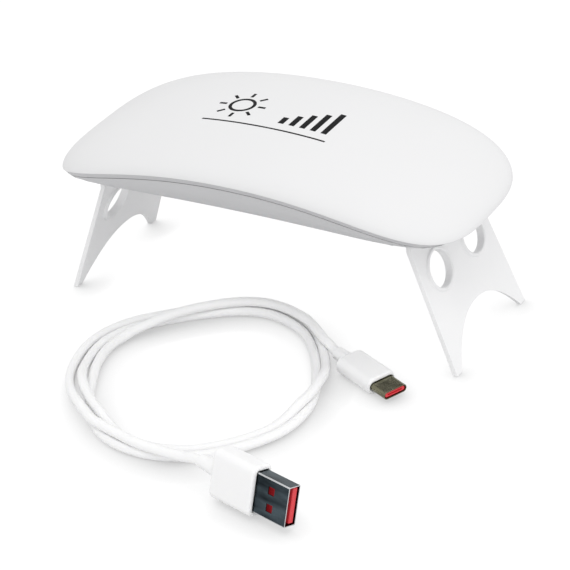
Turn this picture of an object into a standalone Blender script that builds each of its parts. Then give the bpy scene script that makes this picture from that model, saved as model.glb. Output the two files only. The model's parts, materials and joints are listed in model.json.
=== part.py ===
"""Folding USB nail lamp: crowned shell, curved base with a leg recess, two swinging legs,
six-LED board, push button, USB-C inlet and a coiled USB-A to USB-C cable."""
import math

import bmesh
import bpy
from mathutils import Vector

MM = 0.001

# Shell plan and heights, in millimetres
HALF_L, HALF_W = 71.0, 35.0
PLAN_NX, PLAN_NY = 6.0, 3.1
EDGE_END, ARCH, ARCH_POW = 43.6, 13.0, 2.1
CROWN, CROWN_POW, CROWN_SKIN = 8.2, 0.5, 1.9
FLAT_Z = 42.8
HULL_INSET = 13.8
LIP_DROP, LIP_INSET = 1.9, 1.0
SEAM_GAP = 0.15
STATIONS = 76

# Underside recess that takes the folded legs
REC_X, REC_Y, REC_TOP, REC_WALL, CEILING = 55.4, 24.7, 48.5, 1.3, 1.1

# Legs
HINGE_X, HINGE_Z = 51.6, 45.4
LEG_T = 1.6
LEG_SLOPE = 0.387
BEND_Z = 38.0
LEG_OUT_X = 55.0
LEG_HALF_TOP, LEG_HALF_FOOT = 21.1, 23.85
ARCH_H, ARCH_HALF, ARCH_N = 12.8, 20.9, 2.2
BARREL_R, BORE_R, PIN_R, PIN_HALF = 1.95, 1.05, 0.75, 25.6
HOLE_R, HOLE_Y, HOLE_Z = 5.8, 11.0, 27.9
RIM_R, RIM_T = 7.1, 0.65

# Board and lighting
PCB_Z, PCB_T, PCB_X, PCB_Y = 51.7, 1.2, 49.0, 22.5
LED_SPOTS = [(-33.3, -11.0), (-33.3, 11.0), (0.0, -11.0), (0.0, 11.0), (33.3, -11.0), (33.3, 11.0)]
LENS_R, WINDOW_R, FLANGE_R = 3.1, 3.4, 4.2
POST_X = 18.75

# Inlet and button on the rear wall
PORT_W, PORT_H, PORT_Y0, PORT_Y1, PORT_Z = 8.94, 3.26, 26.1, 32.8, 51.55
BUTTON_X, BUTTON_Z, BUTTON_W, BUTTON_H = 22.0, 50.7, 6.4, 2.6

# Cover screws
SCREW_X, SCREW_Y = 60.3, 14.0

# Cable
CORD_R = 1.5
COIL_W, COIL_H = 8.2, 3.0
USB_A_AT, USB_A_TURN, USB_A_LEAN = (34.7, -102.2), -14.0, 17.5
USB_C_AT, USB_C_TURN = (37.3, -32.0), -25.0


def clear_scene():
    for obj in list(bpy.data.objects):
        bpy.data.objects.remove(obj, do_unlink=True)


def material(name, colour, roughness=0.45, metallic=0.0, transmission=0.0, ior=1.45):
    mat = bpy.data.materials.new(name)
    mat.use_nodes = True
    shader = mat.node_tree.nodes["Principled BSDF"]
    shader.inputs["Base Color"].default_value = (*colour, 1.0)
    shader.inputs["Roughness"].default_value = roughness
    shader.inputs["Metallic"].default_value = metallic
    shader.inputs["Transmission Weight"].default_value = transmission
    shader.inputs["IOR"].default_value = ior
    mat.diffuse_color = (*colour, 1.0)
    return mat


def finish(name, bm, mat, location=(0, 0, 0), smooth=35.0, scale=MM):
    bmesh.ops.remove_doubles(bm, verts=bm.verts, dist=1e-5)
    bmesh.ops.recalc_face_normals(bm, faces=bm.faces)
    for vert in bm.verts:
        vert.co *= scale
    for face in bm.faces:
        face.smooth = True
    for edge in bm.edges:
        if len(edge.link_faces) == 2:
            edge.smooth = edge.calc_face_angle(0.0) < math.radians(smooth)
    mesh = bpy.data.meshes.new(name)
    bm.to_mesh(mesh)
    bm.free()
    obj = bpy.data.objects.new(name, mesh)
    bpy.context.scene.collection.objects.link(obj)
    obj.location = [value * scale for value in location]
    if mat:
        mesh.materials.append(mat)
    return obj


def loft(bm, rings, cap_first="face", cap_last="face"):
    """Closed skin through rings of equal length; each end is one flat face or a point fan."""
    layers = [[bm.verts.new(point) for point in ring] for ring in rings]
    count = len(layers[0])
    for low, high in zip(layers, layers[1:]):
        for i in range(count):
            j = (i + 1) % count
            bm.faces.new((low[i], low[j], high[j], high[i]))
    for layer, cap in ((layers[0], cap_first), (layers[-1], cap_last)):
        if cap == "face":
            bm.faces.new(layer)
        elif cap is not None:
            tip = bm.verts.new(cap)
            for i in range(count):
                bm.faces.new((layer[i], layer[(i + 1) % count], tip))
    return bm


def helper(obj):
    obj.hide_render = True
    obj.display_type = "WIRE"
    return obj


def boolean(obj, other, operation="DIFFERENCE"):
    modifier = obj.modifiers.new(operation.lower(), "BOOLEAN")
    modifier.operation = operation
    modifier.solver = "EXACT"
    modifier.object = helper(other)
    return modifier


def box_bm(x0, x1, y0, y1, z0, z1):
    bm = bmesh.new()
    ring = lambda z: [(x0, y0, z), (x1, y0, z), (x1, y1, z), (x0, y1, z)]
    return loft(bm, [ring(z0), ring(z1)])


def box(name, bounds, mat=None, location=(0, 0, 0), bevel=0.0, segments=2):
    obj = finish(name, box_bm(*bounds), mat, location)
    if bevel:
        modifier = obj.modifiers.new("edge", "BEVEL")
        modifier.width = bevel * MM
        modifier.segments = segments
    return obj


def rounded_outline(half_a, half_b, radius, steps=5):
    points = []
    corners = ((half_a, half_b, 0), (-half_a, half_b, 90), (-half_a, -half_b, 180), (half_a, -half_b, 270))
    for a, b, start in corners:
        ca, cb = a - math.copysign(radius, a), b - math.copysign(radius, b)
        for i in range(steps + 1):
            angle = math.radians(start + 90 * i / steps)
            points.append((ca + radius * math.cos(angle), cb + radius * math.sin(angle)))
    return points


def prism(name, outline, start, end, axis, mat=None, location=(0, 0, 0), ease=0.0, smooth=35.0):
    """Extrudes a 2D outline along axis X, Y or Z; ease rounds both rims."""
    place = {
        "X": lambda a, b, t: (t, a, b),
        "Y": lambda a, b, t: (a, t, b),
        "Z": lambda a, b, t: (a, b, t),
    }[axis]
    half_a = max(abs(a) for a, _ in outline)
    half_b = max(abs(b) for _, b in outline)
    layers = [(start, 0.0), (end, 0.0)]
    if ease:
        turn = [(1 - math.sin(k), 1 - math.cos(k)) for k in (0.0, math.pi / 6, math.pi / 3, math.pi / 2)]
        layers = [(start + ease * along, ease * shy) for shy, along in turn]
        layers += [(end - ease * along, ease * shy) for shy, along in reversed(turn)]
    rings = []
    for t, shrink in layers:
        fa, fb = 1 - shrink / half_a, 1 - shrink / half_b
        rings.append([place(a * fa, b * fb, t) for a, b in outline])
    return finish(name, loft(bmesh.new(), rings), mat, location, smooth)


def lathe(name, profile, axis, mat=None, location=(0, 0, 0), segments=32, smooth=35.0):
    """Turned solid: profile is (radius, along) from one end to the other, ends closed flat."""
    place = {
        "X": lambda r, t, c, s: (t, r * c, r * s),
        "Y": lambda r, t, c, s: (r * c, t, r * s),
        "Z": lambda r, t, c, s: (r * c, r * s, t),
    }[axis]
    turns = [2 * math.pi * i / segments for i in range(segments)]
    rings = [[place(r, t, math.cos(a), math.sin(a)) for a in turns] for r, t in profile]
    return finish(name, loft(bmesh.new(), rings), mat, location, smooth)


def edge_height(x):
    return EDGE_END + ARCH * (1 - min(1.0, abs(x / HALF_L)) ** ARCH_POW)


def lip_drop(x):
    return min(LIP_DROP, 0.45 * (edge_height(x) - FLAT_Z))


def plan_point(angle, inset=0.0, shrink=1.0):
    c, s = math.cos(angle), math.sin(angle)
    x = (HALF_L - inset) * shrink * math.copysign(abs(c) ** (2 / PLAN_NX), c)
    y = (HALF_W - inset) * shrink * math.copysign(abs(s) ** (2 / PLAN_NY), s)
    return x, y


def station_angles():
    """Angles that space the outline evenly along its length."""
    fine = [2 * math.pi * i / 7200 for i in range(7201)]
    spots = [plan_point(a) for a in fine]
    run = [0.0]
    for (xa, ya), (xb, yb) in zip(spots, spots[1:]):
        run.append(run[-1] + math.hypot(xb - xa, yb - ya))
    angles, k = [], 0
    for i in range(STATIONS):
        target = run[-1] * i / STATIONS
        while run[k + 1] < target:
            k += 1
        angles.append(fine[k] + (fine[k + 1] - fine[k]) * (target - run[k]) / (run[k + 1] - run[k]))
    return angles


ANGLES = []


def plan_ring(inset, height, shrink=1.0):
    return [(x, y, height(x, y)) for x, y in (plan_point(a, inset, shrink) for a in ANGLES)]


def crown_rings(inset, rise, base, levels):
    """Rings climbing from the rim of the crown to near its middle."""
    rings = []
    for rho in levels:
        shrink = rho ** (1 / 4.4)
        half_l, half_w = HALF_L - inset, HALF_W - inset

        def height(x, y, half_l=half_l, half_w=half_w):
            here = min(1.0, abs(x / half_l) ** PLAN_NX + abs(y / half_w) ** PLAN_NY)
            return base(x) + rise * (1 - here) ** CROWN_POW

        rings.append(plan_ring(inset, height, shrink))
    return rings


def top_cover(mat):
    seam = lambda x, y: edge_height(x) - lip_drop(x) + SEAM_GAP
    edge = lambda x, y: edge_height(x)
    half = lambda x, y: edge_height(x) - 0.45 * lip_drop(x)
    inner = crown_rings(2.2, CROWN - CROWN_SKIN, edge_height, (0.99, 0.93, 0.8, 0.55, 0.25))
    outer = crown_rings(0.0, CROWN, edge_height, (0.997, 0.98, 0.94, 0.87, 0.75, 0.58, 0.38, 0.18))
    rings = list(reversed(inner))
    rings += [plan_ring(2.2, edge), plan_ring(2.2, seam), plan_ring(LIP_INSET, seam)]
    rings += [plan_ring(0.25, half), plan_ring(0.0, edge)] + outer
    middle = EDGE_END + ARCH
    top = middle + CROWN
    bm = loft(bmesh.new(), rings, (0, 0, top - CROWN_SKIN), (0, 0, top))
    cover = finish("top_cover", bm, mat, smooth=28.0)
    for i, (sx, sy) in enumerate(((1, 1), (1, -1), (-1, 1), (-1, -1))):
        spot = (sx * SCREW_X, sy * SCREW_Y, 0)
        boss = lathe(f"boss_{i}", [(2.3, 47.9), (2.3, 51.8), (1.6, 52.1)], "Z", None, spot, 20)
        boolean(cover, boss, "UNION")
        boolean(cover, lathe(f"pilot_{i}", [(1.25, 47.0), (1.25, 50.5)], "Z", None, spot, 20))
    return cover


def base_shell(mat):
    rings = []
    steps = 7
    for k in range(steps + 1):
        turn = math.pi / 2 * (1 - k / steps)
        inset = LIP_INSET + (HULL_INSET - LIP_INSET) * (1 - math.cos(turn))
        drop = math.sin(turn)

        def skin(x, y, drop=drop):
            seam = edge_height(x) - lip_drop(x) - SEAM_GAP
            return seam + (FLAT_Z - seam) * drop

        rings.append(plan_ring(inset, skin))
    rings.append(plan_ring(2.5, lambda x, y: edge_height(x) - lip_drop(x) - SEAM_GAP))
    rings.append(plan_ring(2.5, lambda x, y: edge_height(x) - 0.1))
    floor = FLAT_Z + 1.8
    for k in range(6):
        turn = math.pi / 2 * k / 5
        inset = 3.5 + 11.3 * (1 - math.cos(turn))

        def inside(x, y, drop=math.sin(turn)):
            lip = max(edge_height(x) - 0.1, floor + 0.05)
            return lip + (floor - lip) * drop

        rings.append(plan_ring(inset, inside))
    base = finish("base_shell", loft(bmesh.new(), rings), mat, smooth=28.0)
    outer_x, outer_y = REC_X + REC_WALL, REC_Y + REC_WALL
    recess_wall = box("recess_wall", (-outer_x, outer_x, -outer_y, outer_y, 44.1, REC_TOP + CEILING))
    boolean(base, recess_wall, "UNION")
    cheeks = []
    for sx in (-1, 1):
        for sy in (-1, 1):
            tag = f"{sx}_{sy}".replace("-", "m")
            spot = (sx * SCREW_X, sy * SCREW_Y, 0)
            boolean(base, lathe(f"post_{tag}", [(3.3, 44.0), (3.3, 47.5)], "Z", None, spot, 24), "UNION")
            cheeks.append((sx, sy, tag))
        stand = lathe(f"stand_{sx + 1}", [(2.6, 49.0), (2.6, 51.4)], "Z", None, (sx * POST_X, 0, 0), 24)
        boolean(base, stand, "UNION")
    boolean(base, box("recess", (-REC_X, REC_X, -REC_Y, REC_Y, 38.0, REC_TOP)))
    for sx, sy, tag in cheeks:
        cheek = lathe(f"cheek_{tag}", [(2.3, 21.55), (2.3, 26.9)], "Y", None, (sx * HINGE_X, 0, HINGE_Z), 24)
        cheek.rotation_euler = (0, 0, 0 if sy > 0 else math.pi)
        boolean(base, cheek, "UNION")
        web = sorted((sy * 21.55, sy * 25.0))
        rib = box(f"web_{tag}", (sx * HINGE_X - 1.6, sx * HINGE_X + 1.6, *web, HINGE_Z, REC_TOP + 0.5))
        boolean(base, rib, "UNION")
    for i, (x, y) in enumerate(LED_SPOTS):
        boolean(base, lathe(f"window_{i}", [(WINDOW_R, 47.0), (WINDOW_R, 51.0)], "Z", None, (x, y, 0), 32))
    for sx in (-1, 1):
        axle = (sx * HINGE_X, 0, HINGE_Z)
        bore = lathe(f"pin_bore_{sx + 1}", [(1.0, -26.0), (1.0, 26.0)], "Y", None, axle, 20)
        boolean(base, bore)
        post = (sx * POST_X, 0, 0)
        boolean(base, lathe(f"stand_hole_{sx + 1}", [(1.1, 49.2), (1.1, 52.5)], "Z", None, post, 20))
        for sy in (-1, 1):
            spot = (sx * SCREW_X, sy * SCREW_Y, 0)
            sink = [(2.3, 40.0), (2.3, 45.4), (1.25, 45.41), (1.25, 49.0)]
            boolean(base, lathe(f"sink_{sx + 1}{sy + 1}", sink, "Z", None, spot, 24))
    slot = rounded_outline(PORT_W / 2 + 0.35, PORT_H / 2 + 0.35, 1.7, 5)
    boolean(base, prism("port_slot", slot, 27.0, 38.0, "Y", None, (0, 0, PORT_Z)))
    pocket = (BUTTON_X - 4.6, BUTTON_X + 4.6, 27.5, 31.3, BUTTON_Z - 2.1, BUTTON_Z + 2.1)
    boolean(base, box("button_pocket", pocket))
    hole = rounded_outline(BUTTON_W / 2 + 0.3, BUTTON_H / 2 + 0.3, BUTTON_H / 2 + 0.25, 6)
    boolean(base, prism("button_hole", hole, 30.0, 38.0, "Y", None, (BUTTON_X, 0, BUTTON_Z)))
    return base


def leg(name, side, mat):
    """Barrel, short upright, then a plate leaning out to the foot; origin on the hinge axis."""
    normal_z = LEG_SLOPE / math.hypot(1, LEG_SLOPE)
    thick_x = LEG_T * math.hypot(1, LEG_SLOPE)
    out = LEG_OUT_X - HINGE_X
    foot_x = out + LEG_SLOPE * BEND_Z
    low = -HINGE_Z
    bend = BEND_Z - HINGE_Z
    inner_bend = bend + LEG_T * normal_z * 0.5
    profile = [(out, bend), (out, -1.6), (out - 0.35, -0.6)]
    for degrees in (50, 75, 100, 125, 150, 175, 200, 225, 250, 275):
        turn = math.radians(degrees)
        profile.append((BARREL_R * math.cos(turn), BARREL_R * math.sin(turn)))
    profile += [(out - LEG_T, -2.3), (out - LEG_T, inner_bend)]
    profile += [(foot_x - thick_x, low), (foot_x, low)]
    rings = []
    for sign in (-1, 1):
        ring = []
        for x, z in profile:
            span = LEG_HALF_FOOT + (LEG_HALF_TOP - LEG_HALF_FOOT) * (z + HINGE_Z) / HINGE_Z
            ring.append((side * x, sign * span, z))
        rings.append(ring)
    body = finish(name, loft(bmesh.new(), rings), mat, (side * HINGE_X, 0, HINGE_Z))
    drift = math.atan(LEG_SLOPE)
    for i, sign in enumerate((-1, 1)):
        along = HOLE_Z - HINGE_Z
        mid_x = out + LEG_SLOPE * (BEND_Z - HOLE_Z) - thick_x / 2
        spot = (side * (HINGE_X + mid_x), sign * HOLE_Y, HINGE_Z + along)
        collar = [(RIM_R - 0.4, -LEG_T / 2 - RIM_T), (RIM_R, -LEG_T / 2), (RIM_R, LEG_T / 2)]
        collar += [(RIM_R - 0.4, LEG_T / 2 + RIM_T)]
        rim = lathe(f"{name}_rim_{i}", collar, "X", None, spot, 36)
        rim.rotation_euler = (0, -side * drift, 0)
        boolean(body, rim, "UNION")
        edge = HOLE_R + 0.3
        face = LEG_T / 2 + RIM_T
        bore = [(edge + 1.0, -face - 1.0), (HOLE_R, -face + 0.3),
                (HOLE_R, face - 0.3), (edge + 1.0, face + 1.0)]
        drill = lathe(f"{name}_hole_{i}", bore, "X", None, spot, 36)
        drill.rotation_euler = (0, -side * drift, 0)
        boolean(body, drill)
    steps = 28
    arch = []
    for k in range(steps + 1):
        y = -ARCH_HALF + 2 * ARCH_HALF * k / steps
        arch.append((y, ARCH_H * (1 - abs(y / ARCH_HALF) ** ARCH_N)))
    arch = [(y, max(z, 0.02)) for y, z in arch] + [(ARCH_HALF, -4.0), (-ARCH_HALF, -4.0)]
    boolean(body, prism(f"{name}_arch", arch, -90.0, 90.0, "X", None))
    axle = (side * HINGE_X, 0, HINGE_Z)
    boolean(body, lathe(f"{name}_bore", [(BORE_R, -30.0), (BORE_R, 30.0)], "Y", None, axle, 20))
    return body


def screw(name, mat, spot, head_r, head_h, shank_r, length, up=True):
    """Pan-head screw with a cross slot; up means that its point is above its head."""
    rows = [(head_r * 0.7, 0.0), (head_r, head_h * 0.45), (head_r, head_h), (shank_r, head_h + 0.01)]
    rows += [(shank_r, length - 0.7), (shank_r * 0.35, length)]
    if not up:
        rows = [(r, -t) for r, t in reversed(rows)]
    body = lathe(name, rows, "Z", mat, spot, 20)
    depth = head_h * 0.5 * (1 if up else -1)
    for i, (a, b) in enumerate(((0.16, 0.62), (0.62, 0.16))):
        z0, z1 = sorted((-0.4 * (1 if up else -1), depth))
        bounds = (-a * head_r, a * head_r, -b * head_r, b * head_r, z0, z1)
        boolean(body, box(f"{name}_slot_{i}", bounds, None, spot))
    return body


def circuit_board(mat):
    board = prism("circuit_board", rounded_outline(PCB_X, PCB_Y, 4.0, 5), PCB_Z, PCB_Z + PCB_T, "Z", mat)
    boolean(board, box("tab", (-9.0, 27.0, 20.0, 29.8, PCB_Z, PCB_Z + PCB_T)), "UNION")
    boolean(board, box("port_notch", (-PORT_W / 2 - 0.35, PORT_W / 2 + 0.35, 25.7, 31.0, 50.0, 54.0)))
    for sx in (-1, 1):
        hole = lathe(f"board_hole_{sx + 1}", [(1.2, 50.0), (1.2, 54.0)], "Z", None, (sx * POST_X, 0, 0), 20)
        boolean(board, hole)
    return board


def electronics(mats):
    circuit_board(mats["board"])
    for i, (x, y) in enumerate(LED_SPOTS):
        box(f"led_{i + 1}", (-1.75, 1.75, -1.4, 1.4, 50.7, 51.4), mats["led"], (x, y, 0), 0.12, 1)
        dome = [(1.2, 48.72), (2.5, 48.95), (LENS_R, 49.45), (LENS_R, 49.9),
                (FLANGE_R, 49.91), (FLANGE_R, 50.4)]
        lathe(f"led_lens_{i + 1}", dome, "Z", mats["lens"], (x, y, 0), 24)
    top = PCB_Z + PCB_T + 0.3
    box("timer_chip", (-2.5, 2.5, -2.0, 2.0, top, top + 1.5), mats["chip"], (-8.0, 13.0, 0), 0.15, 1)
    box("driver_transistor", (-3.2, 3.2, -1.8, 1.8, top, top + 1.6), mats["chip"], (10.0, 13.0, 0), 0.15, 1)
    rows = [(2.2, 0.0), (2.5, 0.2), (2.5, 0.6), (2.3, 0.8), (2.5, 1.0), (2.5, 3.0), (2.2, 3.2)]
    lathe("capacitor", [(r, t + top) for r, t in rows], "Z", mats["can"], (28.0, -6.0, 0), 28)
    for i, (x, y) in enumerate(((-26.0, 4.0), (-26.0, -5.0))):
        box(f"resistor_{i + 1}", (-1.6, 1.6, -0.8, 0.8, top, top + 0.6), mats["chip"], (x, y, 0), 0.08, 1)
    for sx in (-1, 1):
        spot = (sx * POST_X, 0, top + 1.2)
        screw(f"board_screw_{1 if sx < 0 else 2}", mats["steel"], spot, 1.8, 1.2, 0.8, 4.9, up=False)
    number = 0
    for sx in (-1, 1):
        for sy in (-1, 1):
            number += 1
            spot = (sx * SCREW_X, sy * SCREW_Y, 43.8)
            screw(f"cover_screw_{number}", mats["steel"], spot, 1.9, 1.3, 0.9, 6.1)


def inlet_and_button(mats):
    tube = rounded_outline(PORT_W / 2, PORT_H / 2, 1.55, 6)
    shell = prism("usb_port_shell", tube, PORT_Y0, PORT_Y1, "Y", mats["steel"], (0, 0, PORT_Z))
    inner = rounded_outline(PORT_W / 2 - 0.3, PORT_H / 2 - 0.3, 1.27, 6)
    boolean(shell, prism("port_inside", inner, PORT_Y0 + 0.6, PORT_Y1 + 2, "Y", None, (0, 0, PORT_Z)))
    tongue = (-3.35, 3.35, PORT_Y0 + 0.9, PORT_Y1 - 0.9, PORT_Z - 0.35, PORT_Z + 0.35)
    box("usb_port_tongue", tongue, mats["chip"], bevel=0.08, segments=1)
    case = (BUTTON_X - 2.35, BUTTON_X + 2.35, 25.6, 29.0, 49.95, 51.4)
    switch = box("switch_body", case, mats["chip"])
    nub = (BUTTON_X - 0.9, BUTTON_X + 0.9, 28.0, 29.8, 50.25, 51.15)
    boolean(switch, box("switch_nub", nub), "UNION")
    cap = rounded_outline(BUTTON_W / 2, BUTTON_H / 2, BUTTON_H / 2 - 0.02, 6)
    button = prism("power_button", cap, 0.0, 3.1, "Y", mats["button"], (BUTTON_X, 30.8, BUTTON_Z), 0.3)
    flange = rounded_outline(4.1, 1.75, 1.2, 4)
    boolean(button, prism("button_flange", flange, -0.4, 0.2, "Y", None, (BUTTON_X, 30.8, BUTTON_Z)), "UNION")


def empty(name, x, y, z, turn, lean=0.0):
    frame = bpy.data.objects.new(name, None)
    bpy.context.scene.collection.objects.link(frame)
    frame.rotation_euler = (math.radians(lean), 0, math.radians(turn))
    frame.location = (x * MM, y * MM, z * MM)
    return frame


def ride(frame, *objects):
    for obj in objects:
        obj.parent = frame


def usb_a_plug(mats):
    """Standing on its narrow side: length along X, the 12 mm width up, thickness along Y."""
    length, wide, thin, reach = 16.0, 15.0, 7.6, 12.0
    lean = math.radians(USB_A_LEAN)
    rise = (wide / 2 - 2.1) * math.cos(lean) + (thin / 2 - 2.1) * math.sin(lean) + 2.1
    frame = empty("usb_a_frame", *USB_A_AT, rise, USB_A_TURN, -USB_A_LEAN)
    outline = rounded_outline(thin / 2, wide / 2, 2.1, 5)
    housing = prism("usb_a_housing", outline, 0.0, length, "X", mats["plug"], ease=0.9)
    pocket = rounded_outline(2.25 + 0.3, 6.0 + 0.3, 0.6, 3)
    cut = prism("usb_a_pocket", pocket, length - 1.6, length + 2, "X")
    boolean(housing, cut)
    start = length - 1.3
    section = rounded_outline(2.25, 6.0, 0.35, 3)
    shell = prism("usb_a_shell", section, start, length + reach, "X", mats["chrome"])
    inside = prism("usb_a_inside", rounded_outline(1.93, 5.68, 0.1, 2), start + 1.0, length + reach + 2, "X")
    boolean(shell, inside)
    parts = [housing, cut, shell, inside]
    for i, z in enumerate((-2.55, 2.55)):
        window = box(f"usb_a_window_{i}", (length + 4.6, length + 6.9, -4, 4, z - 1.15, z + 1.15))
        boolean(shell, window)
        parts.append(window)
    tongue = (start + 1.3, length + reach - 0.35, -0.2, 1.55, -5.3, 5.3)
    parts.append(box("usb_a_tongue", tongue, mats["red"], bevel=0.15, segments=1))
    parts.append(relief("usb_a_strain_relief", mats["plug"], 2.6, 7.5))
    ride(frame, *parts)
    return frame


def relief(name, mat, radius, length):
    rows = [(CORD_R + 0.1, -length), (CORD_R + 0.5, -length + 0.25), (radius, -0.9), (radius, -0.3)]
    return lathe(name, rows, "X", mat, segments=28)


def usb_c_plug(mats):
    """Lying flat: length along X, the wide side level."""
    length, wide, thin, reach = 16.5, 10.2, 5.4, 6.5
    frame = empty("usb_c_frame", *USB_C_AT, thin / 2, USB_C_TURN)
    outline = rounded_outline(wide / 2, thin / 2, 2.3, 6)
    housing = prism("usb_c_housing", outline, 0.0, length, "X", mats["plug"], ease=0.8)
    pocket = rounded_outline(4.17 + 0.3, 1.28 + 0.3, 1.5, 5)
    cut = prism("usb_c_pocket", pocket, length - 1.6, length + 2, "X")
    boolean(housing, cut)
    start = length - 1.3
    section = rounded_outline(4.17, 1.28, 1.22, 6)
    shell = prism("usb_c_shell", section, start, length + reach, "X", mats["olive"])
    inside = prism("usb_c_inside", rounded_outline(3.9, 1.0, 0.95, 5), start + 0.8, length + reach + 2, "X")
    boolean(shell, inside)
    section = rounded_outline(3.55, 0.65, 0.6, 5)
    ring = prism("usb_c_tongue", section, start + 1.1, length + reach - 0.25, "X", mats["red"])
    slit = box("usb_c_slit", (length + 1.5, length + reach + 1, -2.6, 2.6, -0.25, 0.25))
    boolean(ring, slit)
    parts = [housing, cut, shell, inside, ring, slit, relief("usb_c_strain_relief", mats["plug"], 2.3, 6.0)]
    ride(frame, *parts)
    return frame


def spline(points, count, closed=False):
    """Even samples of the smooth curve through the points."""
    knots = [Vector(p) for p in points]
    number = len(knots)
    spans = number if closed else number - 1
    fine = []
    for i in range(spans):
        if closed:
            a, b, c, d = (knots[(i + k) % number] for k in (-1, 0, 1, 2))
        else:
            b, c = knots[i], knots[i + 1]
            a = knots[i - 1] if i else b * 2 - c
            d = knots[i + 2] if i + 2 < number else c * 2 - b
        for k in range(24):
            t = k / 24
            fine.append(0.5 * (2 * b + (c - a) * t + (2 * a - 5 * b + 4 * c - d) * t * t
                               + (3 * b - a - 3 * c + d) * t * t * t))
    fine.append(knots[0].copy() if closed else knots[-1].copy())
    run = [0.0]
    for p, q in zip(fine, fine[1:]):
        run.append(run[-1] + (q - p).length)
    samples, k = [], 0
    for i in range(count):
        target = run[-1] * i / (count if closed else count - 1)
        while k < len(run) - 2 and run[k + 1] < target:
            k += 1
        share = (target - run[k]) / max(run[k + 1] - run[k], 1e-9)
        samples.append(fine[k].lerp(fine[k + 1], share))
    return samples


def cord_tube(name, points, count, mat):
    curve = bpy.data.curves.new(name, "CURVE")
    curve.dimensions = "3D"
    curve.bevel_depth = CORD_R * MM
    curve.bevel_resolution = 2
    curve.use_fill_caps = True
    line = curve.splines.new("POLY")
    samples = spline(points, count)
    line.points.add(len(samples) - 1)
    for point, sample in zip(line.points, samples):
        point.co = (*(sample * MM), 1.0)
    curve.materials.append(mat)
    obj = bpy.data.objects.new(name, curve)
    bpy.context.scene.collection.objects.link(obj)
    return obj


COIL_LINE = [(0, -15.3), (9, -16.9), (17, -21), (23.5, -27.5), (30, -36.5), (35, -47), (37, -58.5),
             (34.5, -71.5),
             (27, -83), (17, -91.3), (5, -94.8), (-8, -93.2), (-20, -86.5), (-30.5, -76), (-37.5, -63.5),
             (-39.5, -51.5), (-36.5, -42), (-31, -35), (-24.8, -29), (-17.5, -23), (-9, -17.6)]


def coil(mat):
    centre = spline([(x, y, 0) for x, y in COIL_LINE], 64, closed=True)
    rings = []
    for i, here in enumerate(centre):
        ahead = (centre[(i + 1) % len(centre)] - centre[i - 1]).normalized()
        side = Vector((-ahead.y, ahead.x, 0))
        outline = rounded_outline(COIL_W / 2 - 0.021 * here.x, COIL_H / 2, 1.4, 2)
        rings.append([here + side * a + Vector((0, 0, b + COIL_H / 2)) for a, b in outline])
    bm = bmesh.new()
    layers = [[bm.verts.new(p) for p in ring] for ring in rings]
    count = len(outline)
    for i in range(len(layers)):
        low, high = layers[i], layers[(i + 1) % len(layers)]
        for k in range(count):
            bm.faces.new((low[k], low[(k + 1) % count], high[(k + 1) % count], high[k]))
    return finish("cord_coil", bm, mat, smooth=50.0)


def cables(mats):
    usb_a_plug(mats)
    usb_c_plug(mats)
    coil(mats["cord"])

    def tail(at, turn, distance, height):
        angle = math.radians(turn)
        return (at[0] - distance * math.cos(angle), at[1] - distance * math.sin(angle), height)

    c_end = tail(USB_C_AT, USB_C_TURN, 6.9, 2.95)
    over = [(7.0, -16.4, 4.65), (14.0, -18.9, 4.65), (21.5, -23.9, 4.75),
            tail(USB_C_AT, USB_C_TURN, 12.5, 4.85)]
    cord_tube("usb_c_cord", over + [tail(USB_C_AT, USB_C_TURN, 9.7, 4.1), c_end], 14, mats["cord"])
    a_end = tail(USB_A_AT, USB_A_TURN, 7.8, 7.76)
    a_mid = tail(USB_A_AT, USB_A_TURN, 14.5, 5.9)
    cord_tube("usb_a_cord", [(2.0, -101.3, 1.55), (11.0, -99.6, 2.5), a_mid, a_end], 12, mats["cord"])


def main():
    global ANGLES
    clear_scene()
    ANGLES = station_angles()
    mats = {
        "shell": material("white_shell", (0.86, 0.86, 0.87), 0.4),
        "base": material("base_plastic", (0.8, 0.8, 0.81), 0.5),
        "leg": material("leg_plastic", (0.84, 0.84, 0.85), 0.42),
        "button": material("button_plastic", (0.8, 0.8, 0.82), 0.4),
        "steel": material("steel", (0.62, 0.62, 0.63), 0.3, 1.0),
        "chrome": material("plug_steel", (0.7, 0.71, 0.73), 0.16, 1.0),
        "olive": material("plug_dark_steel", (0.3, 0.29, 0.24), 0.25, 1.0),
        "board": material("board_white", (0.75, 0.77, 0.74), 0.5),
        "led": material("led_package", (0.85, 0.8, 0.45), 0.4),
        "lens": material("lens_clear", (0.93, 0.93, 0.98), 0.08, 0.0, 0.85, 1.49),
        "chip": material("black_epoxy", (0.03, 0.03, 0.032), 0.5),
        "can": material("capacitor_can", (0.66, 0.67, 0.7), 0.3, 1.0),
        "plug": material("plug_plastic", (0.85, 0.85, 0.86), 0.4),
        "cord": material("cord_jacket", (0.83, 0.83, 0.84), 0.48),
        "red": material("red_plastic", (0.72, 0.03, 0.03), 0.4),
    }
    top_cover(mats["shell"])
    base_shell(mats["base"])
    for name, side in (("left_leg", -1), ("right_leg", 1)):
        leg(name, side, mats["leg"])
        pin = [(PIN_R - 0.2, -PIN_HALF), (PIN_R, -PIN_HALF + 0.2),
               (PIN_R, PIN_HALF - 0.2), (PIN_R - 0.2, PIN_HALF)]
        lathe(name.replace("leg", "hinge_pin"), pin, "Y", mats["steel"], (side * HINGE_X, 0, HINGE_Z), 20)
    electronics(mats)
    inlet_and_button(mats)
    cables(mats)


main()
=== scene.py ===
"""Folding UV nail lamp on a white table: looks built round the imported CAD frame."""
import json
import math

import bmesh
import bpy
from mathutils import Matrix, Vector


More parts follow.
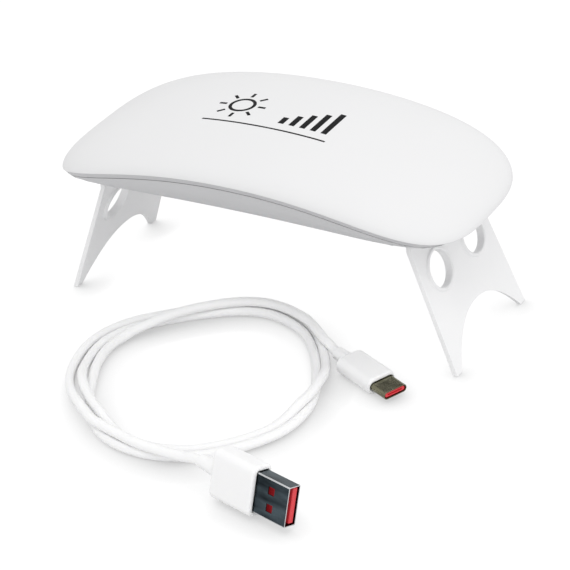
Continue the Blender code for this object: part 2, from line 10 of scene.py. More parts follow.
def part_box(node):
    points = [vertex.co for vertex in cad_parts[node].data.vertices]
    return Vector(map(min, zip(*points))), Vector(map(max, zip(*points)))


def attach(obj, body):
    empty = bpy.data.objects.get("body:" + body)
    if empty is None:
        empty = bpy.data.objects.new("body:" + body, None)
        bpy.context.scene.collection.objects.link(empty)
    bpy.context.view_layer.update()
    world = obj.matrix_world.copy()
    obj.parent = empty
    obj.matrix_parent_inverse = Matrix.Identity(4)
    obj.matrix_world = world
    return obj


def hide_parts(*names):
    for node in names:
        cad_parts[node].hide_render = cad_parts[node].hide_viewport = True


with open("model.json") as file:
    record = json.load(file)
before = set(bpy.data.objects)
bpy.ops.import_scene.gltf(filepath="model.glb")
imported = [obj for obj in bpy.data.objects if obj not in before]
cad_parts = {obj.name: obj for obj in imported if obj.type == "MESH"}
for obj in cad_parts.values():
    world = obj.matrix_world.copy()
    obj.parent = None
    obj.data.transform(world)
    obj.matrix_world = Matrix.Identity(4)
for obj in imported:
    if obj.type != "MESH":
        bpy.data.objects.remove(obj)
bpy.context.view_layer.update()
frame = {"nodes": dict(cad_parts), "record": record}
MM = 0.001

# ---------------------------------------------------------------- camera, light, table
CAM_AZ, CAM_EL, CAM_ROLL = 32.59, 30.78, -5.42
CAM_AT = (0.33839, -0.53463, 0.38004)
CAM_SENSOR, CAM_LENS = 36.0, 145.8
# The tent's radiance is a level plus the direction's dot product with a slope; the camera sees one even white
TENT_LEVEL, TENT_SLOPE, TENT_SEEN = 0.95, (0.17, 0.05, -0.05), 1.02
SOFTBOX_AT, SOFTBOX_AIM, SOFTBOX_SIZE, SOFTBOX_POWER = (0.22, -0.42, 0.95), (0, -0.03, 0.02), 0.4, 2.0
# The table bounces light as white card; the camera sees a glow with a painted shadow that darkens it where
# something stands close
TABLE_HALF, TABLE_TOP = 4, -0.0001
TABLE_BOUNCE, TABLE_SEEN = (0.83, 0.83, 0.833), (0.12, 0.12, 0.121)
# Reach and darkest glow of the painted shadow on the table, the glow where nothing is close, and the side it
# seems lit from
PAINTED_SHADOW_REACH, PAINTED_SHADOW_DARK, TABLE_GLOW = 0.010, 0.42, 0.94
PAINTED_SHADOW_FROM, PAINTED_SHADOW_SAMPLES = (-0.60, 0.38, 0.70), 16


def make_camera():
    az, el, roll = (math.radians(v) for v in (CAM_AZ, CAM_EL, CAM_ROLL))
    ahead = Vector((-math.sin(az) * math.cos(el), math.cos(az) * math.cos(el), -math.sin(el)))
    right = Vector((math.cos(az), math.sin(az), 0))
    up = right.cross(ahead)
    x_axis = math.cos(roll) * right + math.sin(roll) * up
    y_axis = -math.sin(roll) * right + math.cos(roll) * up
    data = bpy.data.cameras.new("camera")
    data.sensor_width, data.lens = CAM_SENSOR, CAM_LENS
    data.clip_start, data.clip_end = 0.01, 20.0
    camera = bpy.data.objects.new("camera", data)
    bpy.context.scene.collection.objects.link(camera)
    turn = Matrix((x_axis, y_axis, -ahead)).transposed().to_4x4()
    turn.translation = Vector(CAM_AT)
    camera.matrix_world = turn
    bpy.context.scene.camera = camera


def make_tent():
    world = bpy.data.worlds.new("studio")
    bpy.context.scene.world = world
    world.use_nodes = True
    nodes, links = world.node_tree.nodes, world.node_tree.links
    back = nodes["Background"]
    back.inputs["Color"].default_value = (1.0, 1.0, 1.0, 1)
    coord = nodes.new("ShaderNodeTexCoord")
    slope = nodes.new("ShaderNodeVectorMath")
    slope.operation = "DOT_PRODUCT"
    slope.inputs[1].default_value = TENT_SLOPE
    level = nodes.new("ShaderNodeMath")
    level.operation = "ADD"
    level.inputs[1].default_value = TENT_LEVEL
    path = nodes.new("ShaderNodeLightPath")
    shown = nodes.new("ShaderNodeMix")
    shown.inputs[3].default_value = TENT_SEEN
    links.new(coord.outputs["Generated"], slope.inputs[0])
    links.new(slope.outputs["Value"], level.inputs[0])
    links.new(path.outputs["Is Camera Ray"], shown.inputs[0])
    links.new(level.outputs[0], shown.inputs[2])
    links.new(shown.outputs[0], back.inputs["Strength"])
    bpy.context.scene.view_settings.view_transform = "Standard"


def make_softbox():
    data = bpy.data.lights.new("top_softbox", "AREA")
    data.shape, data.size, data.energy = "DISK", SOFTBOX_SIZE, SOFTBOX_POWER
    lamp = bpy.data.objects.new("top_softbox", data)
    lamp.location = SOFTBOX_AT
    lamp.rotation_euler = (Vector(SOFTBOX_AIM) - Vector(SOFTBOX_AT)).to_track_quat("-Z", "Y").to_euler()
    lamp.visible_glossy = False
    bpy.context.scene.collection.objects.link(lamp)


def glow_with_painted_shadow(nodes, links):
    """Emission with a painted shadow: it fades on the side away from the light, where something stands close
    to the table.
    """
    glow = nodes.new("ShaderNodeEmission")
    # Occlusion within reach darkens the glow: the painted shadow, shifted by the tilted normal it is given
    near = nodes.new("ShaderNodeAmbientOcclusion")
    near.samples = PAINTED_SHADOW_SAMPLES
    near.inputs["Distance"].default_value = PAINTED_SHADOW_REACH
    lit_from = nodes.new("ShaderNodeCombineXYZ")
    for socket, value in zip(lit_from.inputs, PAINTED_SHADOW_FROM):
        socket.default_value = value
    depth = nodes.new("ShaderNodeMapRange")
    depth.inputs["To Min"].default_value = PAINTED_SHADOW_DARK
    depth.inputs["To Max"].default_value = TABLE_GLOW
    links.new(lit_from.outputs[0], near.inputs["Normal"])
    links.new(near.outputs["AO"], depth.inputs["Value"])
    links.new(depth.outputs[0], glow.inputs["Strength"])
    return glow


def table_material():
    mat = bpy.data.materials.new("table_white")
    mat.use_nodes = True
    nodes, links = mat.node_tree.nodes, mat.node_tree.links
    nodes.clear()
    pale = nodes.new("ShaderNodeBsdfDiffuse")
    pale.inputs["Color"].default_value = (*TABLE_SEEN, 1)
    seen = nodes.new("ShaderNodeAddShader")
    links.new(glow_with_painted_shadow(nodes, links).outputs[0], seen.inputs[0])
    links.new(pale.outputs[0], seen.inputs[1])
    bounce = nodes.new("ShaderNodeBsdfDiffuse")
    bounce.inputs["Color"].default_value = (*TABLE_BOUNCE, 1)
    path = nodes.new("ShaderNodeLightPath")
    mix = nodes.new("ShaderNodeMixShader")
    links.new(path.outputs["Is Camera Ray"], mix.inputs[0])
    links.new(bounce.outputs[0], mix.inputs[1])
    links.new(seen.outputs[0], mix.inputs[2])
    side = nodes.new("ShaderNodeNewGeometry")
    clear = nodes.new("ShaderNodeBsdfTransparent")
    one_sided = nodes.new("ShaderNodeMixShader")
    links.new(side.outputs["Backfacing"], one_sided.inputs[0])
    links.new(mix.outputs[0], one_sided.inputs[1])
    links.new(clear.outputs[0], one_sided.inputs[2])
    out = nodes.new("ShaderNodeOutputMaterial")
    links.new(one_sided.outputs[0], out.inputs["Surface"])
    return mat


def make_table():
    """White table top that is clear from below, so that the lamp's underside can be looked at."""
    half = TABLE_HALF
    corners = [(-half, -half, 0), (half, -half, 0), (half, half, 0), (-half, half, 0)]
    table = bpy.data.meshes.new("table")
    table.from_pydata(corners, [], [(0, 1, 2, 3)])
    table.materials.append(table_material())
    floor = bpy.data.objects.new("table", table)
    floor.location.z = TABLE_TOP
    bpy.context.scene.collection.objects.link(floor)


# ---------------------------------------------------------------- materials
PLASTIC_IOR, COAT_ROUGH = 1.49, 0.14
DRIFT_SCALE, GLOSS_SCALE, CLOUD_SCALE = 18.0, 90.0, 260.0
NOISE_LOW, NOISE_HIGH = 0.3, 0.7
SOFT_REACH, SOFT_TINT = 0.0012, (1.0, 1.0, 0.95)
MOULD_GRAIN, SHEET_GRAIN, BOARD_GRAIN = 0.000012, 0.00001, 0.00002
SHEET_BUMP, INK_SPECULAR = 0.1, 0.12
# The red tongue glows though it is no lamp: painted light that keeps it bright inside the USB-A shell
RED_PAINTED_GLOW, RED_PAINTED_GLOW_STRENGTH = (0.8, 0.03, 0.04, 1), 0.12
BOARD_CELLS, BOARD_TRACK = 90.0, 0.03
BOARD_TONES = {"Color1": (0.72, 0.74, 0.71, 1), "Color2": (0.68, 0.71, 0.67, 1),
               "Mortar": (0.5, 0.56, 0.48, 1)}
LENS_CLEARNESS = 0.75


def shader_of(name):
    mat = bpy.data.materials.new(name)
    mat.use_nodes = True
    tree = mat.node_tree
    return mat, tree, tree.nodes["Principled BSDF"]


def ranged_noise(tree, scale, low, high, stretch=None, detail=3.0):
    """A noise field in object space, mapped to low..high; returns (value socket, raw socket)."""
    coord = tree.nodes.new("ShaderNodeTexCoord")
    source = coord.outputs["Object"]
    if stretch:
        mapping = tree.nodes.new("ShaderNodeMapping")
        mapping.inputs["Scale"].default_value = stretch
        tree.links.new(source, mapping.inputs[0])
        source = mapping.outputs[0]
    noise = tree.nodes.new("ShaderNodeTexNoise")
    noise.inputs["Scale"].default_value = scale
    noise.inputs["Detail"].default_value = detail
    tree.links.new(source, noise.inputs["Vector"])
    spread = tree.nodes.new("ShaderNodeMapRange")
    spread.inputs["From Min"].default_value = NOISE_LOW
    spread.inputs["From Max"].default_value = NOISE_HIGH
    spread.inputs["To Min"].default_value = low
    spread.inputs["To Max"].default_value = high
    tree.links.new(noise.outputs["Fac"], spread.inputs["Value"])
    return spread.outputs[0], noise.outputs["Fac"]


def tint(tree, shader, fac, first, second):
    """Base colour that runs from the first to the second with fac."""
    mix = tree.nodes.new("ShaderNodeMix")
    mix.data_type = "RGBA"
    mix.inputs[6].default_value = (*first, 1)
    mix.inputs[7].default_value = (*second, 1)
    tree.links.new(fac, mix.inputs[0])
    tree.links.new(mix.outputs[2], shader.inputs["Base Color"])


def bump(tree, shader, height, strength, distance):
    node = tree.nodes.new("ShaderNodeBump")
    node.inputs["Strength"].default_value = strength
    node.inputs["Distance"].default_value = distance
    tree.links.new(height, node.inputs["Height"])
    tree.links.new(node.outputs[0], shader.inputs["Normal"])


def plastic(name, colour, rough, grain, depth, drift=0.012, coat=0.0, soft=0.0):
    """Moulded plastic: slow tone drift, patchy gloss, a fine spark-eroded grain and light let in by soft."""
    mat, tree, shader = shader_of(name)
    slow, _ = ranged_noise(tree, DRIFT_SCALE, 0.0, 1.0)
    darker = tuple(c * (1 - drift) for c in colour)
    lighter = tuple(min(1.0, c * (1 + drift * 0.5)) for c in colour)
    tint(tree, shader, slow, darker, lighter)
    gloss, _ = ranged_noise(tree, GLOSS_SCALE, *rough)
    tree.links.new(gloss, shader.inputs["Roughness"])
    _, fine = ranged_noise(tree, grain, 0.0, 1.0, detail=1.0)
    bump(tree, shader, fine, depth, MOULD_GRAIN)
    shader.inputs["IOR"].default_value = PLASTIC_IOR
    shader.inputs["Coat Weight"].default_value = coat
    shader.inputs["Coat Roughness"].default_value = COAT_ROUGH
    shader.inputs["Subsurface Weight"].default_value = soft
    shader.inputs["Subsurface Radius"].default_value = SOFT_TINT
    shader.inputs["Subsurface Scale"].default_value = SOFT_REACH
    return mat


def metal(name, colour, second, rough, stretch=(30, 400, 400)):
    """Rolled or plated sheet: fine streaks along X and cloudy reflections."""
    mat, tree, shader = shader_of(name)
    streak, raw = ranged_noise(tree, 1.0, 0.0, 1.0, stretch)
    cloud, _ = ranged_noise(tree, CLOUD_SCALE, *rough)
    tint(tree, shader, streak, colour, second)
    tree.links.new(cloud, shader.inputs["Roughness"])
    bump(tree, shader, raw, SHEET_BUMP, SHEET_GRAIN)
    shader.inputs["Metallic"].default_value = 1.0
    return mat


def make_materials():
    looks = {
        "white_shell": plastic("white_shell", (0.80, 0.80, 0.805), (0.38, 0.45), 9000, 0.05),
        # The lower shell's grey is partly its own tone and partly painted shade, darkened to stand in for the
        # shade under the lamp
        "base_plastic": plastic("base_plastic", (0.57, 0.57, 0.58), (0.40, 0.50), 7000, 0.14),
        "leg_plastic": plastic("leg_plastic", (0.88, 0.88, 0.885), (0.32, 0.40), 8000, 0.07, coat=0.08),
        "button_plastic": plastic("button_plastic", (0.82, 0.82, 0.83), (0.32, 0.42), 7000, 0.1),
        "steel": metal("steel", (0.55, 0.55, 0.56), (0.66, 0.66, 0.68), (0.22, 0.34)),
        # The plug shell's near-black metal with lighter blue streaks is a painted reflection of dark
        # surroundings in its mirror metal
        "plug_steel": metal("plug_steel", (0.010, 0.014, 0.017), (0.075, 0.10, 0.115), (0.06, 0.14),
                            (60, 200, 320)),
        # A lighter copy of the plug metal: painted highlight on the USB-A shell's rounded edges and mouth rim
        "plug_painted_highlight": metal("plug_painted_highlight", (0.62, 0.63, 0.64), (0.80, 0.81, 0.82), (0.08, 0.16),
                             (60, 260, 260)),
        "plug_dark_steel": metal("plug_dark_steel", (0.15, 0.145, 0.095), (0.25, 0.24, 0.165), (0.18, 0.3)),
        "black_epoxy": plastic("black_epoxy", (0.03, 0.03, 0.032), (0.45, 0.6), 4000, 0.4),
        "capacitor_can": metal("capacitor_can", (0.6, 0.61, 0.63), (0.72, 0.73, 0.76), (0.2, 0.32)),
        "plug_plastic": plastic("plug_plastic", (0.94, 0.94, 0.943), (0.34, 0.42), 7000, 0.08, soft=0.35),
        "cord_jacket": plastic("cord_jacket", (0.94, 0.94, 0.943), (0.38, 0.48), 5000, 0.12, soft=0.5),
        "red_plastic": plastic("red_plastic", (0.62, 0.035, 0.045), (0.34, 0.44), 5000, 0.12, drift=0.12),
        "ink": plastic("ink", (0.006, 0.006, 0.007), (0.5, 0.6), 5000, 0.1, drift=0.2),
    }
    ink = looks["ink"].node_tree.nodes["Principled BSDF"]
    ink.inputs["Specular IOR Level"].default_value = INK_SPECULAR
    # Painted light: the red plastic glows faintly
    red = looks["red_plastic"].node_tree.nodes["Principled BSDF"]
    red.inputs["Emission Color"].default_value = RED_PAINTED_GLOW
    red.inputs["Emission Strength"].default_value = RED_PAINTED_GLOW_STRENGTH
    looks["board_white"] = board_material()
    looks["led_package"] = led_material()
    looks["lens_clear"] = lens_material()
    return looks


def board_material():
    mat, tree, shader = shader_of("board_white")
    coord = tree.nodes.new("ShaderNodeTexCoord")
    brick = tree.nodes.new("ShaderNodeTexBrick")
    brick.inputs["Scale"].default_value = BOARD_CELLS
    brick.inputs["Mortar Size"].default_value = BOARD_TRACK
    for socket, tone in BOARD_TONES.items():
        brick.inputs[socket].default_value = tone
    tree.links.new(coord.outputs["Object"], brick.inputs["Vector"])
    tree.links.new(brick.outputs["Color"], shader.inputs["Base Color"])
    gloss, raw = ranged_noise(tree, 400.0, 0.35, 0.5)
    tree.links.new(gloss, shader.inputs["Roughness"])
    bump(tree, shader, raw, 0.1, BOARD_GRAIN)
    return mat


def led_material():
    mat, tree, shader = shader_of("led_package")
    fac, raw = ranged_noise(tree, 900.0, 0.0, 1.0)
    tint(tree, shader, fac, (0.82, 0.72, 0.28), (0.88, 0.82, 0.5))
    gloss, _ = ranged_noise(tree, 500.0, 0.25, 0.45)
    tree.links.new(gloss, shader.inputs["Roughness"])
    bump(tree, shader, raw, 0.15, BOARD_GRAIN)
    return mat


def lens_material():
    mat, tree, shader = shader_of("lens_clear")
    fac, raw = ranged_noise(tree, 300.0, 0.0, 1.0)
    tint(tree, shader, fac, (0.86, 0.86, 0.95), (0.93, 0.93, 0.99))
    gloss, _ = ranged_noise(tree, 700.0, 0.05, 0.14)
    tree.links.new(gloss, shader.inputs["Roughness"])
    shader.inputs["Transmission Weight"].default_value = LENS_CLEARNESS
    shader.inputs["IOR"].default_value = PLASTIC_IOR
    bump(tree, shader, raw, 0.05, BOARD_GRAIN)
    return mat


# ---------------------------------------------------------------- mesh helpers
MERGE_REACH = 1e-5


def finish(name, bm, mat, smooth):
    """Mesh object from millimetre geometry, shaded smooth up to an angle in degrees."""
    bmesh.ops.remove_doubles(bm, verts=bm.verts, dist=MERGE_REACH)
    bmesh.ops.recalc_face_normals(bm, faces=bm.faces)
    for vert in bm.verts:
        vert.co *= MM
    for face in bm.faces:
        face.smooth = True
    for edge in bm.edges:
        if len(edge.link_faces) == 2:
            edge.smooth = edge.calc_face_angle(0.0) < math.radians(smooth)
    mesh = bpy.data.meshes.new(name)
    bm.to_mesh(mesh)
    bm.free()
    obj = bpy.data.objects.new(name, mesh)
    bpy.context.scene.collection.objects.link(obj)
    mesh.materials.append(mat)
    return obj


def loft(rings, first_tip, last_tip):
    """Closed skin through the rings, drawn together to a tip at either end."""
    bm = bmesh.new()
    layers = [[bm.verts.new(point) for point in ring] for ring in rings]
    count = len(layers[0])
    for low, high in zip(layers, layers[1:]):
        for i in range(count):
            j = (i + 1) % count
            bm.faces.new((low[i], low[j], high[j], high[i]))
    for layer, spot in ((layers[0], first_tip), (layers[-1], last_tip)):
        tip = bm.verts.new(spot)
        for i in range(count):
            bm.faces.new((layer[i], layer[(i + 1) % count], tip))
    return bm


# ---------------------------------------------------------------- cable
# All lengths in millimetres; the coil's middle line and the plugs' places are those of the CAD model
CORD_R, CORD_SIDES = 1.5, 6
SPAN_STEPS, COIL_POINTS, CORD_POINTS = 24, 720, 420
LAP_START, LAP_END, LAP_STEPS = -0.075, 2.44, 96
WANDER, WANDER_RATE, WANDER_FROM = 0.12, 2.6, 0.25
COIL_LINE = [(0, -15.3), (9, -16.9), (17, -21), (23.5, -27.5), (30, -36.5), (35, -47), (37, -58.5),
             (34.5, -71.5), (27, -83), (17, -91.3), (5, -94.8), (-8, -93.2), (-20, -86.5), (-30.5, -76),
             (-37.5, -63.5), (-39.5, -51.5), (-36.5, -42), (-31, -35), (-24.8, -29), (-17.5, -23),
             (-9, -17.6)]
USB_A_AT, USB_A_TURN, USB_A_LEAN, USB_A_Z = (34.7, -102.2), -14.0, 17.5, 7.76
USB_C_AT, USB_C_TURN, USB_C_Z = (37.3, -32.0), -25.0, 2.7


def spline(points, count, closed=False):
    """Evenly spaced samples on a smooth line through the points."""
    knots = [Vector(p) for p in points]
    number = len(knots)
    fine = []
    for i in range(number if closed else number - 1):
        if closed:
            a, b, c, d = (knots[(i + k) % number] for k in (-1, 0, 1, 2))
        else:
            b, c = knots[i], knots[i + 1]
            a = knots[i - 1] if i else b * 2 - c
            d = knots[i + 2] if i + 2 < number else c * 2 - b
        for k in range(SPAN_STEPS):
            t = k / SPAN_STEPS
            fine.append(0.5 * (2 * b + (c - a) * t + (2 * a - 5 * b + 4 * c - d) * t * t
                               + (3 * b - a - 3 * c + d) * t * t * t))
    fine.append(knots[0].copy() if closed else knots[-1].copy())
    run = [0.0]
    for p, q in zip(fine, fine[1:]):
        run.append(run[-1] + (q - p).length)
    samples, k = [], 0
    for i in range(count):
        target = run[-1] * i / (count if closed else count - 1)
        while k < len(run) - 2 and run[k + 1] < target:
            k += 1
        share = (target - run[k]) / max(run[k + 1] - run[k], 1e-9)
        samples.append(fine[k].lerp(fine[k + 1], share))
    return samples


def ease(t, start, end):
    """0 before start, 1 after end, smooth between."""
    share = min(1.0, max(0.0, (t - start) / (end - start)))
    return share * share * (3 - 2 * share)


def tail(at, turn, distance, height):
    """A point behind a plug, on the line it points along."""
    angle = math.radians(turn)
    return Vector((at[0] - distance * math.cos(angle), at[1] - distance * math.sin(angle), height))


def steps_between(t, stops):
    """Eased value at t of a line through (t, value) stops."""
    for (t0, v0), (t1, v1) in zip(stops, stops[1:]):
        if t <= t1:
            return v0 + (v1 - v0) * ease(t, t0, t1)
    return stops[-1][1]


# Sideways place across the coil, in millimetres outward of its middle, against turns made
ACROSS = [(-0.12, 1.6), (-0.03, 0.2), (0.02, -0.1), (0.235, -3.15), (0.30, -3.15), (0.47, 1.7), (0.68, 1.7),
          (0.84, -1.6), (0.94, -1.6), (1.13, 0.0), (1.29, 0.0), (1.45, -1.65), (1.68, -1.65), (1.84, 1.65),
          (1.93, 1.65), (2.12, 3.3), (2.20, 3.95), (2.30, 3.9), (2.46, 1.5)]
# Height of the cord's axis against turns made; the humps are where a turn lies over the one before
LIFT = [(-0.12, 4.75), (0.10, 4.65), (0.235, 1.53), (1.275, 1.53), (1.345, 4.5), (1.415, 4.5), (1.485, 1.53),
        (1.685, 1.53), (1.745, 4.5), (1.785, 4.5), (1.845, 1.53), (2.29, 1.53), (2.41, 4.6), (3.0, 4.6)]


def cord_route():
    """From the USB-C strain relief over the coil, two and a half turns, and over it to the USB-A plug."""
    ring = spline([(x, y, 0) for x, y in reversed(COIL_LINE)], COIL_POINTS, closed=True)
    count = len(ring)
    start = min(range(count), key=lambda i: (ring[i] - Vector((*COIL_LINE[0], 0))).length)

    def on_ring(t):
        i = (start + round(t * count)) % count
        ahead = (ring[(i + 6) % count] - ring[i - 6]).normalized()
        wander = WANDER * math.sin(2 * math.pi * t * WANDER_RATE) if t > WANDER_FROM else 0.0
        out = steps_between(t, ACROSS) + wander
        return ring[i] + Vector((ahead.y, -ahead.x, 0)) * out + Vector((0, 0, steps_between(t, LIFT)))

    points = [tail(USB_C_AT, USB_C_TURN, 5.6, USB_C_Z), tail(USB_C_AT, USB_C_TURN, 7.4, 3.0),
              tail(USB_C_AT, USB_C_TURN, 9.7, 3.9), tail(USB_C_AT, USB_C_TURN, 12.8, 4.7)]
    turns = [LAP_START + (LAP_END - LAP_START) * k / LAP_STEPS for k in range(LAP_STEPS + 1)]
    points += [on_ring(t) for t in turns]
    points += [Vector((1.0, -96.2, 4.6)), Vector((9.5, -97.2, 4.75)), tail(USB_A_AT, USB_A_TURN, 15.0, 5.9),
               tail(USB_A_AT, USB_A_TURN, 10.6, 7.3), tail(USB_A_AT, USB_A_TURN, 7.0, USB_A_Z)]
    return points


def make_cord(looks):
    route = cord_route()
    samples = spline(route, CORD_POINTS)
    curve = bpy.data.curves.new("usb_cord", "CURVE")
    curve.dimensions = "3D"
    curve.bevel_depth = CORD_R * MM
    curve.bevel_resolution = CORD_SIDES
    curve.use_fill_caps = True
    line = curve.splines.new("POLY")
    line.use_smooth = True
    line.points.add(len(samples) - 1)
    for point, sample in zip(line.points, samples):
        point.co = (*(sample * MM), 1.0)
    curve.materials.append(looks["cord_jacket"])
    cord = bpy.data.objects.new("usb_cord", curve)
    bpy.context.scene.collection.objects.link(cord)
    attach(cord, "body")
    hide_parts("usb_a_cord", "usb_c_cord", "cord_coil")
    return cord


# ---------------------------------------------------------------- crowned cover
COVER_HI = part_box("top_cover")[1]
HALF_L, HALF_W = COVER_HI[0] / MM, COVER_HI[1] / MM
PLAN_NX, PLAN_NY = 6.0, 3.1
EDGE_END, ARCH, ARCH_POW = 43.6, 13.0, 2.1
CROWN, CROWN_POW, CROWN_SKIN = 8.2, 0.5, 1.9
FLAT_Z, LIP_DROP, LIP_INSET, SEAM_GAP = 42.8, 1.9, 1.0, 0.05
STATIONS, TOP_RINGS, INNER_RINGS, INNER_INSET = 320, 38, 14, 2.2
LIP_EASE, RIM_EASE = (0.04, 0.05), ((0.10, 0.16), (0.02, 0.08), (0.0, 0.0))
# The first two pick the lip faces painted with shade: how far down they face and how far out they lie; the
# last caps the lip's depth
PAINTED_SHADE_FACES_DOWN, PAINTED_SHADE_FROM, LIP_SHARE = -0.2, 0.9, 0.45
OUTLINE_STEPS, COVER_SMOOTH = 14400, 38


def edge_height(x):
    """Height of the cover's rim, which arches along the lamp."""
    return EDGE_END + ARCH * (1 - min(1.0, abs(x / HALF_L)) ** ARCH_POW)


def lip_drop(x):
    """How far the lip reaches below the rim; less at the ends, where the underside is near."""
    return min(LIP_DROP, LIP_SHARE * (edge_height(x) - FLAT_Z))


def plan_point(angle, inset=0.0, shrink=1.0):
    c, s = math.cos(angle), math.sin(angle)
    x = (HALF_L - inset) * shrink * math.copysign(abs(c) ** (2 / PLAN_NX), c)
    y = (HALF_W - inset) * shrink * math.copysign(abs(s) ** (2 / PLAN_NY), s)
    return x, y


def station_angles(number):
    """Angles that space points evenly round the plan outline."""
    fine = [2 * math.pi * i / OUTLINE_STEPS for i in range(OUTLINE_STEPS + 1)]
    spots = [plan_point(a) for a in fine]
    run = [0.0]
    for (xa, ya), (xb, yb) in zip(spots, spots[1:]):
        run.append(run[-1] + math.hypot(xb - xa, yb - ya))
    angles, k = [], 0
    for i in range(number):
        target = run[-1] * i / number
        while run[k + 1] < target:
            k += 1
        angles.append(fine[k] + (fine[k + 1] - fine[k]) * (target - run[k]) / (run[k + 1] - run[k]))
    return angles


ANGLES = station_angles(STATIONS)


def crown_height(x, y, inset=0.0, rise=CROWN):
    here = abs(x / (HALF_L - inset)) ** PLAN_NX + abs(y / (HALF_W - inset)) ** PLAN_NY
    return edge_height(x) + rise * (1 - min(1.0, here)) ** CROWN_POW


def plan_ring(inset, height, shrink=1.0):
    return [(x, y, height(x, y)) for x, y in (plan_point(a, inset, shrink) for a in ANGLES)]


def crown_rings(inset, rise, steps):
    """Rings from the rim inward; their spacing shrinks towards the steep rim."""
    shrinks = [1 - (k / steps) ** 2 for k in range(1, steps)]
    return [plan_ring(inset, lambda x, y: crown_height(x, y, inset, rise), shrink) for shrink in shrinks]


def paint_shade_on_lip(mesh, lower):
    """Painted shade: the turned-in lip under the rim, part of the white cover, gets the lower shell's darker
    grey material where its faces look down.
    """
    mesh.materials.append(lower)
    for face in mesh.polygons:
        x, y, _ = face.center / MM
        outside = abs(x / HALF_L) ** PLAN_NX + abs(y / HALF_W) ** PLAN_NY
        # Lip faces that look down get the darker material: painted shade
        face.material_index = 1 if face.normal.z < PAINTED_SHADE_FACES_DOWN and outside > PAINTED_SHADE_FROM else 0


def seam_height(x, _):
    """Height of the lip's lower edge, called with x and y as plan_ring calls it."""
    return edge_height(x) - lip_drop(x) + SEAM_GAP


def make_cover(looks):
    """Thin crowned skin: inside, seam, turned-in lip, rounded rim and crown, as one closed loft."""
    inner = crown_rings(INNER_INSET, CROWN - CROWN_SKIN, INNER_RINGS)
    rings = list(reversed(inner))
    rings += [plan_ring(INNER_INSET, lambda x, y: edge_height(x)), plan_ring(INNER_INSET, seam_height)]
    rings += [plan_ring(LIP_INSET, seam_height)]
    rings += [plan_ring(LIP_INSET - LIP_EASE[0], lambda x, y: seam_height(x, y) + LIP_EASE[1])]
    for inset, below in RIM_EASE:
        rings.append(plan_ring(inset, lambda x, y: edge_height(x) - below))
    rings += crown_rings(0.0, CROWN, TOP_RINGS)
    top = EDGE_END + ARCH + CROWN
    bm = loft(rings, (0, 0, top - CROWN_SKIN), (0, 0, top))
    cover = finish("cover_skin", bm, looks["white_shell"], COVER_SMOOTH)
    # Painted shade on the cover's lip
    paint_shade_on_lip(cover.data, looks["base_plastic"])
    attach(cover, "body")
    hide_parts("top_cover")
    return cover


# ---------------------------------------------------------------- printed mark
INK_ABOVE, INK_BELOW = 0.025, -0.08
SUN_AT, SUN_R, SUN_LINE, SUN_STEPS = (-13.0, 0.6), 3.9, 1.1, 48
RAYS, RAY_STOPS, RAY_LINE = 8, (5.6, 6.5, 7.4, 8.2), 1.0
BARS, BAR_FIRST, BAR_PITCH, BAR_FOOT, BAR_LINE, BAR_STEPS = 5, 4.6, 3.7, -6.6, 1.9, 6
BAR_SHORTEST, BAR_RISE, MARK_SMOOTH = 4.0, 2.3, 30
RULE_FROM, RULE_LENGTH, RULE_Y, RULE_LINE, RULE_STEPS = -21.0, 43.0, -10.4, 0.7, 40


def strip(bm, line, width, closed=False):
    """Thin closed band of ink along a plan line, lying on the crown."""
    spots = [Vector((*p, 0)) for p in line]
    count = len(spots)
    layers = []
    for i, here in enumerate(spots):
        before = spots[i - 1] if closed or i else here
        after = spots[(i + 1) % count] if closed or i + 1 < count else here
        ahead = (after - before).normalized()
        side = Vector((-ahead.y, ahead.x, 0)) * width / 2
        ring = []
        for edge, lift in ((side, INK_ABOVE), (-side, INK_ABOVE), (-side, INK_BELOW), (side, INK_BELOW)):
            spot = here + edge
            ring.append(bm.verts.new((spot.x, spot.y, crown_height(spot.x, spot.y) + lift)))
        layers.append(ring)
    for i in range(count if closed else count - 1):
        low, high = layers[i], layers[(i + 1) % count]
        for k in range(4):
            bm.faces.new((low[k], low[(k + 1) % 4], high[(k + 1) % 4], high[k]))
    if not closed:
        bm.faces.new(layers[0])
        bm.faces.new(layers[-1])


def make_mark(looks):
    """Plain printed mark: a small sun, five level bars and a rule."""
    bm = bmesh.new()
    sun_x, sun_y = SUN_AT
    spin = [2 * math.pi * k / SUN_STEPS for k in range(SUN_STEPS)]
    ring = [(sun_x + SUN_R * math.cos(a), sun_y + SUN_R * math.sin(a)) for a in spin]
    strip(bm, ring, SUN_LINE, True)
    for k in range(RAYS):
        a = 2 * math.pi / RAYS * k
        strip(bm, [(sun_x + r * math.cos(a), sun_y + r * math.sin(a)) for r in RAY_STOPS], RAY_LINE)
    for k in range(BARS):
        x, tall = BAR_FIRST + BAR_PITCH * k, BAR_SHORTEST + BAR_RISE * k
        strip(bm, [(x, BAR_FOOT + tall * s / BAR_STEPS) for s in range(BAR_STEPS + 1)], BAR_LINE)
    rule = [(RULE_FROM + RULE_LENGTH * s / RULE_STEPS, RULE_Y) for s in range(RULE_STEPS + 1)]
    strip(bm, rule, RULE_LINE)
    mark = finish("printed_mark", bm, looks["ink"], MARK_SMOOTH)
    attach(mark, "body")
    return mark


# ---------------------------------------------------------------- CAD nodes with finished materials
SOFT_EDGES = {"left_leg": 0.16, "right_leg": 0.16, "power_button": 0.05, "usb_port_shell": 0.04,
              "usb_a_shell": 0.05, "usb_c_shell": 0.04, "timer_chip": 0.05, "driver_transistor": 0.05}
SMOOTH_BELOW, BEVEL_OVER, WELD_REACH = math.radians(32), math.radians(35), 1e-6
# Faces of the USB-A shell that get the painted highlight: slanted corners and the front of the mouth rim
CORNER_SLANT, RIM_AHEAD, RIM_DEPTH = 0.12, 0.9, 0.1


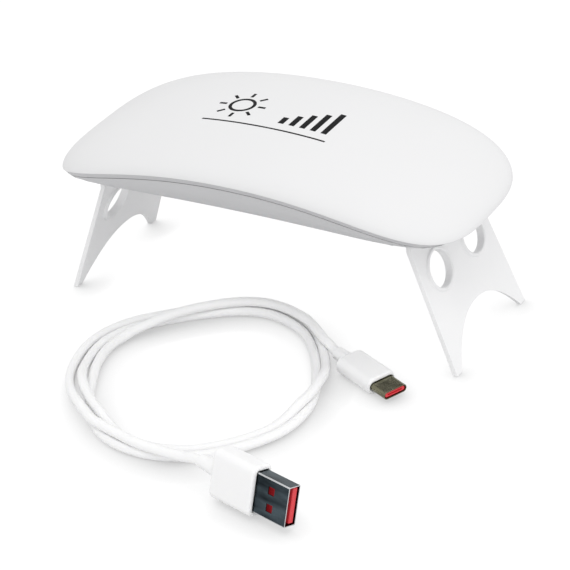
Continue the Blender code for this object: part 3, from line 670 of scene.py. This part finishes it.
def smooth_by_angle():
    """Node group: shade smooth, with edges over the angle kept sharp."""
    group = bpy.data.node_groups.new("smooth_by_angle", "GeometryNodeTree")
    group.interface.new_socket("Geometry", in_out="INPUT", socket_type="NodeSocketGeometry")
    group.interface.new_socket("Geometry", in_out="OUTPUT", socket_type="NodeSocketGeometry")
    begin, end = group.nodes.new("NodeGroupInput"), group.nodes.new("NodeGroupOutput")
    faces, edges = (group.nodes.new("GeometryNodeSetShadeSmooth") for _ in range(2))
    faces.domain, edges.domain = "FACE", "EDGE"
    angle = group.nodes.new("GeometryNodeInputMeshEdgeAngle")
    below = group.nodes.new("FunctionNodeCompare")
    below.operation = "LESS_THAN"
    below.inputs[1].default_value = SMOOTH_BELOW
    group.links.new(begin.outputs[0], faces.inputs["Geometry"])
    group.links.new(faces.outputs[0], edges.inputs["Geometry"])
    group.links.new(angle.outputs["Unsigned Angle"], below.inputs[0])
    group.links.new(below.outputs[0], edges.inputs["Shade Smooth"])
    group.links.new(edges.outputs[0], end.inputs[0])
    return group


def paint_rim_highlights(shell, painted_highlight):
    """Painted highlight: a lighter copy of the shell's metal on the rounded edges and the mouth rim of the
    USB-A shell, where they catch the light.
    """
    shell.data.materials.append(painted_highlight)
    lean = Matrix.Rotation(math.radians(-USB_A_LEAN), 3, "X")
    turn = Matrix.Rotation(math.radians(USB_A_TURN), 3, "Z") @ lean
    ahead, thin, wide = turn @ Vector((1, 0, 0)), turn @ Vector((0, 1, 0)), turn @ Vector((0, 0, 1))
    mouth = max(v.co.dot(ahead) for v in shell.data.vertices)
    for face in shell.data.polygons:
        corner = min(abs(face.normal.dot(thin)), abs(face.normal.dot(wide))) > CORNER_SLANT
        rim = face.normal.dot(ahead) > RIM_AHEAD and mouth - face.center.dot(ahead) < RIM_DEPTH * MM
        face.material_index = 1 if corner or rim else 0


def dress_nodes(looks):
    """Give each CAD node its material, welded and evenly shaded, with softened edges where they show."""
    slots = {entry["node"]: entry["material_slot"] for entry in frame["record"]["subparts"]}
    group = smooth_by_angle()
    for name, obj in frame["nodes"].items():
        obj.data.materials.clear()
        obj.data.materials.append(looks[slots[name]])
        normals = obj.data.attributes.get("custom_normal")
        if normals:
            obj.data.attributes.remove(normals)
        weld = obj.modifiers.new("weld", "WELD")
        weld.merge_threshold = WELD_REACH
        if name in SOFT_EDGES:
            soft = obj.modifiers.new("soft_edges", "BEVEL")
            soft.width, soft.segments = SOFT_EDGES[name] * MM, 2
            soft.limit_method, soft.angle_limit = "ANGLE", BEVEL_OVER
            soft.use_clamp_overlap = False
        obj.modifiers.new("smooth", "NODES").node_group = group
        even = obj.modifiers.new("even", "WEIGHTED_NORMAL")
        even.keep_sharp = True
    # Painted highlight on the USB-A shell's edges and mouth rim
    paint_rim_highlights(frame["nodes"]["usb_a_shell"], looks["plug_painted_highlight"])


def main():
    make_camera()
    make_tent()
    make_softbox()
    make_table()
    looks = make_materials()
    dress_nodes(looks)
    make_cord(looks)
    make_cover(looks)
    make_mark(looks)


main()
